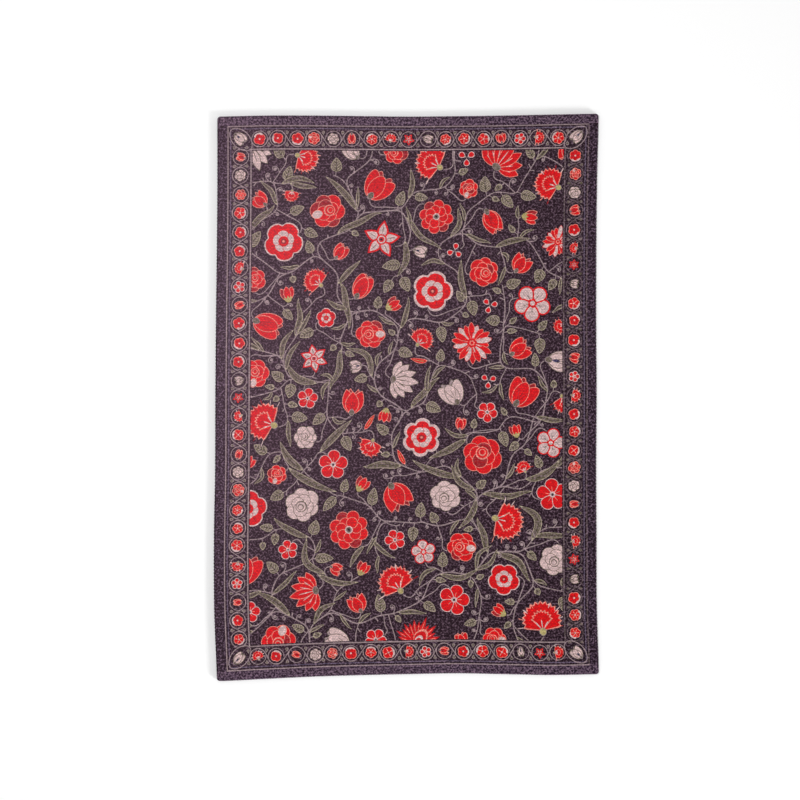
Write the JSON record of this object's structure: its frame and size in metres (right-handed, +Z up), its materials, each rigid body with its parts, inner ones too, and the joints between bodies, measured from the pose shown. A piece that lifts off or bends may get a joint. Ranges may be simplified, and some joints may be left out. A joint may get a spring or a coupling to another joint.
{
  "type": "hand woven cotton rug",
  "caption": "Flat rectangular cotton rug with closed selvedges and a printed floral face inside a vine border, which lies on a floor.",
  "frame": {"origin": "middle of the rug's box, on its underside", "axes": "+Z up through the cloth, +Y along the rug, +X across it"},
  "size_m": [0.6142, 0.905, 0.005],
  "materials": {
    "printed_cotton": "dull charcoal cotton, printed in red, blush grey and taupe"
  },
  "bodies": {
    "root": {"rug": "printed_cotton"}
  },
  "joints": []
}
